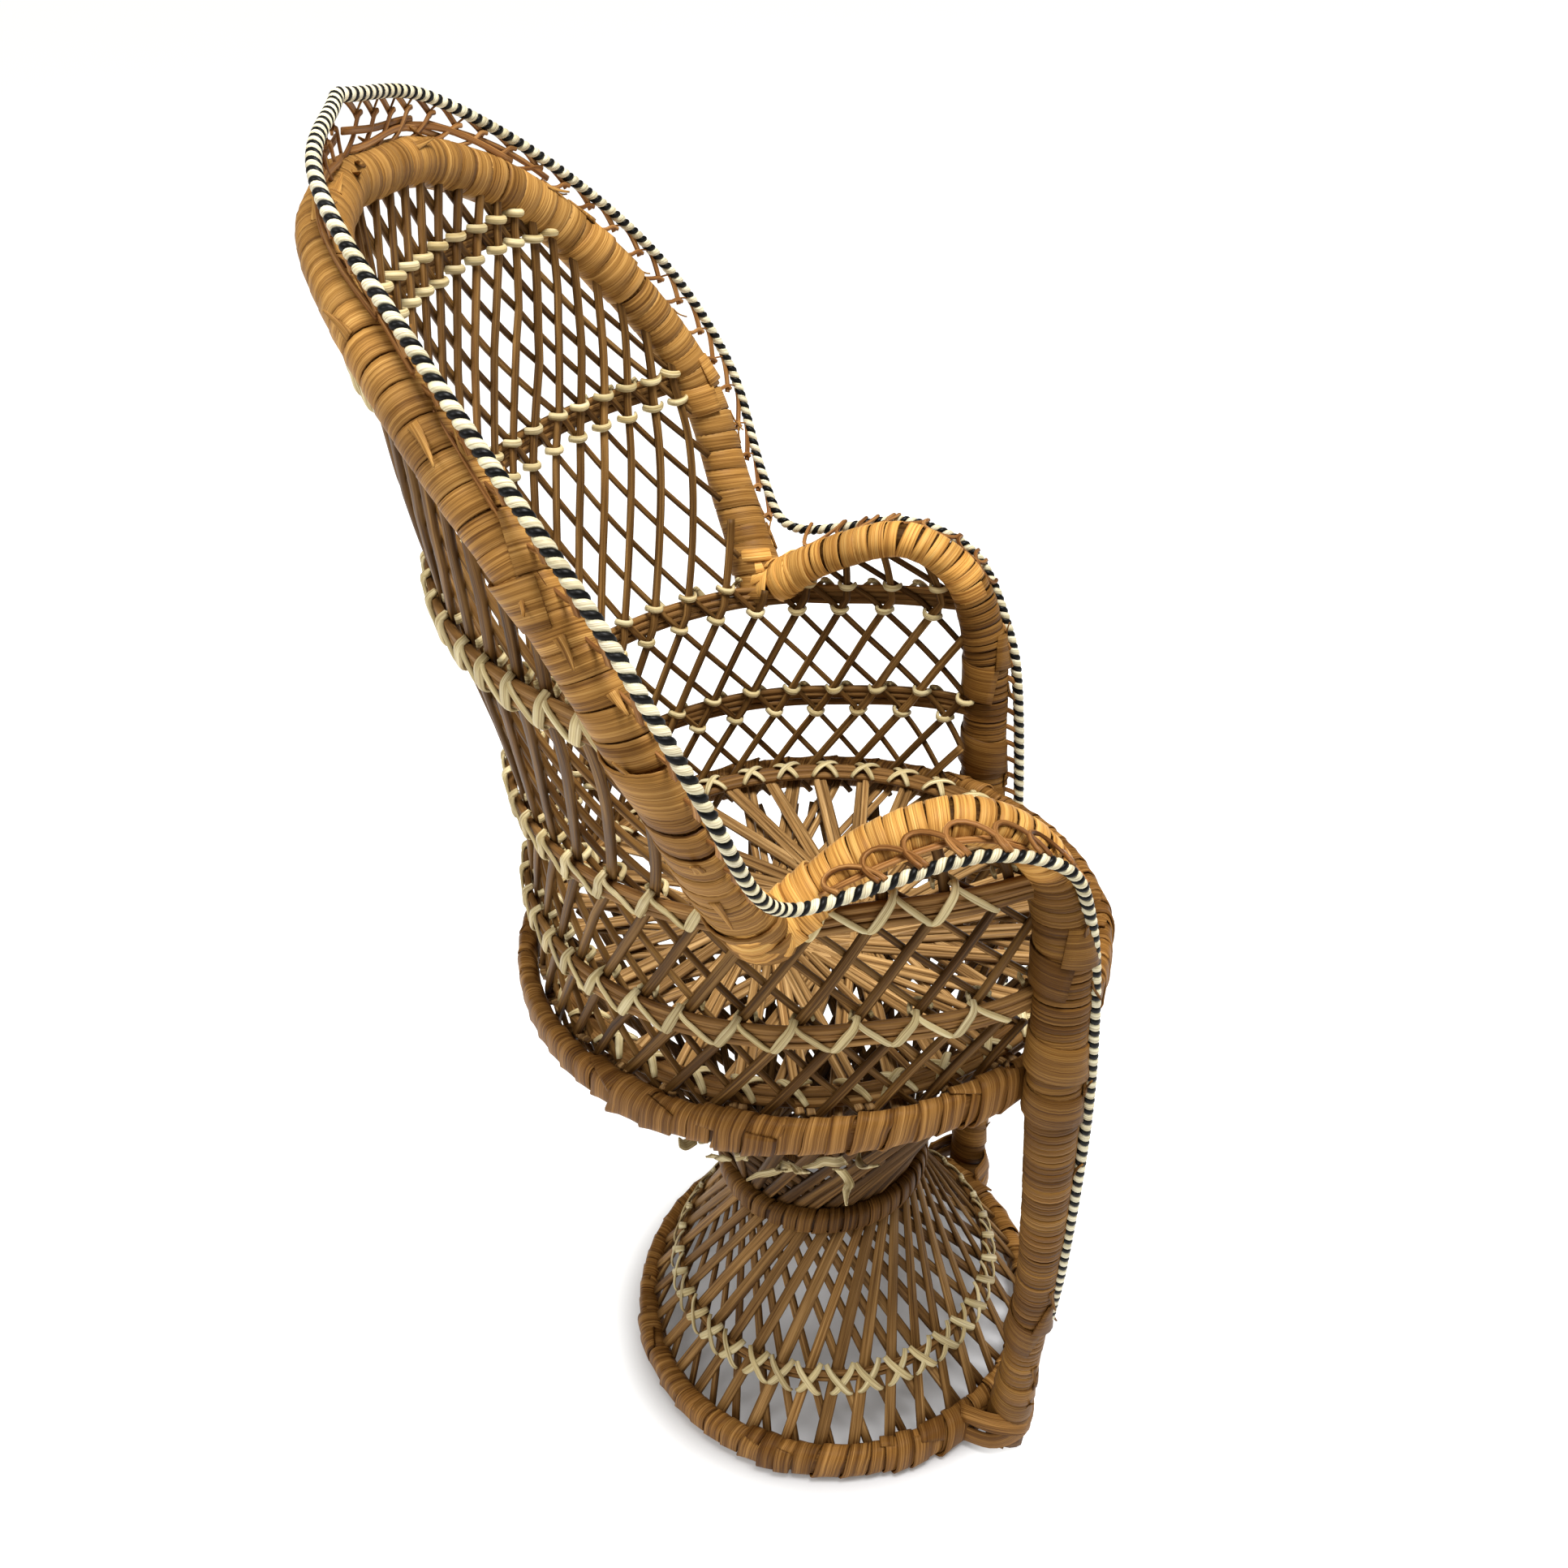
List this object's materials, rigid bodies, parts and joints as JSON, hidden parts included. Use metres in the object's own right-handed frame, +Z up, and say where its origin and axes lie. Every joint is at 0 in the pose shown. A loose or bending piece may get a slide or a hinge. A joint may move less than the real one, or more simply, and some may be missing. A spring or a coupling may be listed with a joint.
{
  "type": "doll peacock chair",
  "caption": "Doll-sized woven cane armchair with a tall fan back, open lattice sides, striped edge piping and an hourglass base.",
  "frame": {"origin": "bottom centre of the bounding box, on the surface that the chair stands on", "axes": "+Z up, the sitter faces -Y, +X to the sitter's left"},
  "size_m": [0.257, 0.1899, 0.4054],
  "materials": {
    "cane": "dry split cane with fine fibre streaks",
    "weave": "darker stained cane, satin",
    "binding": "flat fibre binding wound edge to edge, satin",
    "lashing": "pale glossy cane peel",
    "piping": "black and cream strands twisted together"
  },
  "bodies": {
    "root": {"base_ring_core": "cane", "base_ring_binding": "binding", "waist_ring_core": "cane", "waist_ring_binding": "binding", "seat_ring_core": "cane", "seat_ring_binding": "binding", "base_hoop": "cane", "base_hoop_lashing": "lashing", "seat_hoop": "cane", "seat_hoop_lashing": "lashing", "base_spokes": "weave", "upper_spokes": "weave", "seat_canes": "cane", "fan_frame_core": "cane", "fan_frame_binding": "binding", "arm_frame_left_core": "cane", "arm_frame_left_binding": "binding", "elbow_wrap_left": "binding", "arm_wrap_left": "binding", "post_wrap_left": "binding", "foot_wrap_left": "binding", "arm_frame_right_core": "cane", "arm_frame_right_binding": "binding", "elbow_wrap_right": "binding", "arm_wrap_right": "binding", "post_wrap_right": "binding", "foot_wrap_right": "binding", "weave_panel_1": "weave", "weave_panel_2": "weave", "weave_panel_3": "weave", "weave_panel_4": "weave", "weave_panel_5": "weave", "weave_panel_6": "weave", "weave_panel_7": "weave", "weave_panel_8": "weave", "lower_hoop": "cane", "lower_hoop_lashing": "lashing", "upper_hoop": "cane", "upper_hoop_lashing": "lashing", "fan_hoop_low": "cane", "fan_hoop_low_lashing": "lashing", "fan_hoop_high": "cane", "fan_hoop_high_lashing": "lashing", "edge_piping": "piping", "scroll_trim_fan": "cane", "scroll_trim_left": "cane", "scroll_trim_right": "cane"}
  },
  "joints": []
}
